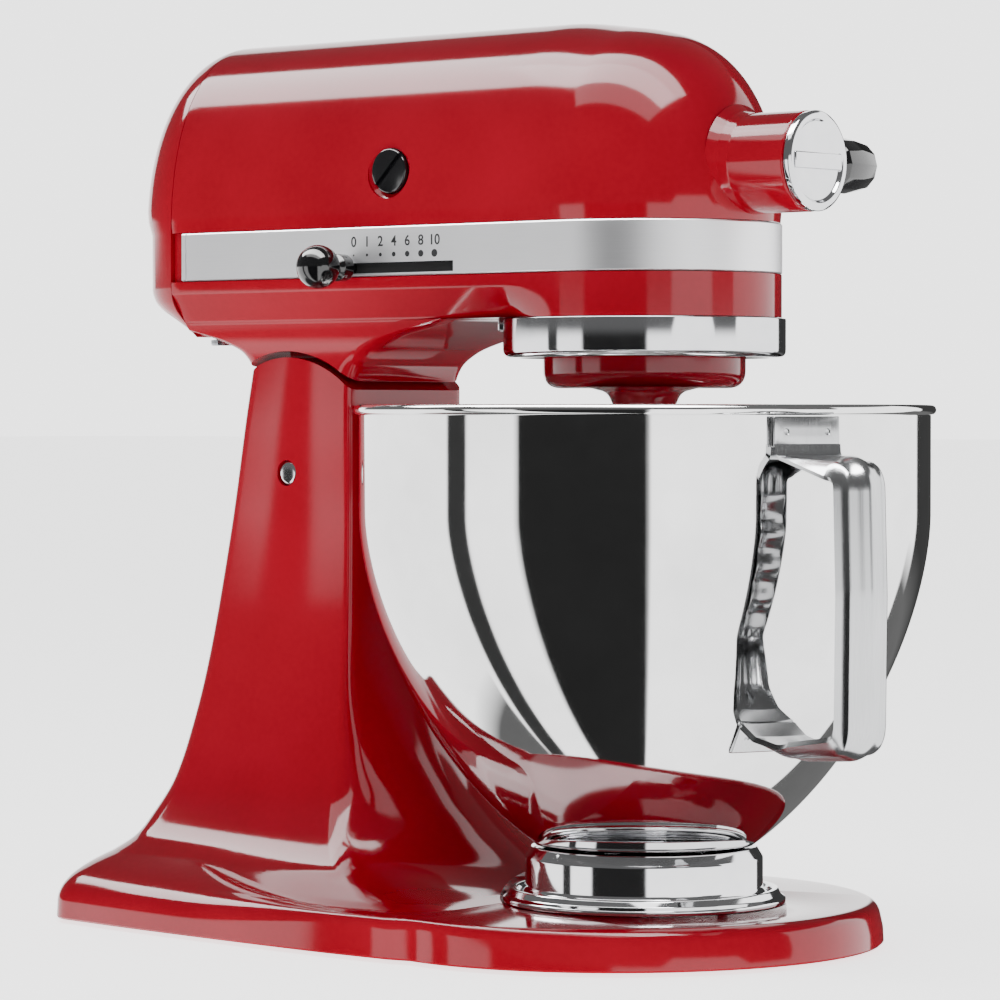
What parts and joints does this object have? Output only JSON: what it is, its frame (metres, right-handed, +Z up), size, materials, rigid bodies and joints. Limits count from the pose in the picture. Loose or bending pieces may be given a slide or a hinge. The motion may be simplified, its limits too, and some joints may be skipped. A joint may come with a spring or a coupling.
{
  "type": "stand mixer",
  "caption": "Tilt-head stand mixer with a cast pedestal, geared planetary head, side slide levers, attachment hub and a polished bowl with a strap handle.",
  "frame": {"origin": "centre of the object's box on the table", "axes": "+X to the mixer's front, +Y to its left, +Z up"},
  "size_m": [0.3869, 0.222, 0.3538],
  "materials": {
    "enamel": "glossy",
    "chrome": "polished",
    "polished_steel": "polished",
    "machined_steel": "machined",
    "black_plastic": "glossy",
    "rubber": "matt",
    "carbon": "matt",
    "cast_iron": "cast",
    "copper": "bare",
    "bronze": "bare",
    "moulded_grey": "satin",
    "circuit_board": "satin",
    "nylon_coating": "satin"
  },
  "bodies": {
    "base": {"pedestal": "enamel", "base_plate": "moulded_grey", "foot_1": "rubber", "foot_2": "rubber", "foot_3": "rubber", "foot_4": "rubber", "foot_5": "rubber", "bowl_clamp_plate": "chrome", "clamp_screw_1": "machined_steel", "clamp_screw_2": "machined_steel", "clamp_screw_3": "machined_steel", "clamp_screw_4": "machined_steel", "hinge_pin": "chrome"},
    "bowl_unit": {"bowl": "polished_steel", "bowl_foot": "polished_steel", "bowl_handle": "polished_steel", "handle_grip": "polished_steel"},
    "head": {"upper_housing": "enamel", "lower_housing": "enamel", "rear_cover": "enamel", "rear_cover_screw": "machined_steel", "cord_gland": "rubber", "trim_band": "chrome", "drip_ring": "chrome", "ring_gear": "machined_steel", "stator": "cast_iron", "front_bearing": "bronze", "rear_bearing": "bronze", "brush_holder_near": "bronze", "brush_holder_far": "bronze", "carbon_brush_near": "carbon", "carbon_brush_far": "carbon", "brush_cap_near": "black_plastic", "brush_cap_far": "black_plastic", "speed_plate": "moulded_grey", "worm_bracket": "cast_iron", "control_board": "circuit_board"},
    "speed_control": {"speed_knob": "black_plastic", "speed_lever": "machined_steel"},
    "head_lock": {"lock_knob": "black_plastic", "lock_lever": "machined_steel"},
    "hub_cap": {"hub_cover": "chrome"},
    "hub_screw": {"attachment_knob": "black_plastic"},
    "planetary_unit": {"planetary": "enamel", "center_shaft": "machined_steel", "center_gear": "bronze", "center_bevel": "machined_steel"},
    "beater_unit": {"beater_shaft": "machined_steel", "planet_pinion": "machined_steel", "drive_pin": "machined_steel", "flat_beater": "nylon_coating"},
    "armature": {"armature_shaft": "machined_steel", "rotor_core": "copper", "commutator": "copper", "cooling_fan": "moulded_grey"},
    "worm_wheel": {"worm_gear": "bronze", "pinion_shaft": "machined_steel"},
    "hub_drive": {"hub_bevel_gear": "machined_steel", "hub_drive_shaft": "machined_steel"}
  },
  "joints": [
    {"name": "head_tilt", "type": "hinge", "parent": "base", "child": "head", "pos_m": [-0.1054, 0, 0.18], "axis": [0, -1, 0], "range_deg": [0, 50]},
    {"name": "speed_slide", "type": "slide", "parent": "head", "child": "speed_control", "axis": [1, 0, 0], "range_m": [0, 0.04]},
    {"name": "lock_slide", "type": "slide", "parent": "head", "child": "head_lock", "axis": [1, 0, 0], "range_m": [0, 0.016]},
    {"name": "hub_cap_slide", "type": "slide", "parent": "head", "child": "hub_cap", "axis": [1, 0, 0], "range_m": [0, 0.03]},
    {"name": "hub_screw_turn", "type": "hinge", "parent": "head", "child": "hub_screw", "pos_m": [0.1156, 0, 0.297], "axis": [0, 1, 0], "range_deg": [-180, 180]},
    {"name": "bowl_twist", "type": "hinge", "parent": "base", "child": "bowl_unit", "pos_m": [0.0466, 0, 0], "axis": [0, 0, 1], "range_deg": [0, 20]},
    {"name": "planetary_spin", "type": "hinge", "parent": "head", "child": "planetary_unit", "pos_m": [0.0466, 0, 0.22], "axis": [0, 0, 1], "continuous": true},
    {"name": "beater_spin", "type": "hinge", "parent": "planetary_unit", "child": "beater_unit", "pos_m": [0.06038, -0.01779, 0.2], "axis": [0, 0, 1], "continuous": true},
    {"name": "worm_wheel_spin", "type": "hinge", "parent": "head", "child": "worm_wheel", "pos_m": [0.00914, 0.019, 0.297], "axis": [0, 0, 1], "continuous": true},
    {"name": "armature_spin", "type": "hinge", "parent": "head", "child": "armature", "pos_m": [-0.0534, 0, 0.297], "axis": [1, 0, 0], "continuous": true},
    {"name": "hub_drive_spin", "type": "hinge", "parent": "head", "child": "hub_drive", "pos_m": [0.0666, 0, 0.297], "axis": [1, 0, 0], "continuous": true}
  ],
  "couplings": [
    {"joint": "beater_spin", "follows": "planetary_spin", "ratio": -3},
    {"joint": "worm_wheel_spin", "follows": "planetary_spin", "ratio": -2.5},
    {"joint": "armature_spin", "follows": "planetary_spin", "ratio": 50},
    {"joint": "hub_drive_spin", "follows": "planetary_spin", "ratio": 1}
  ]
}
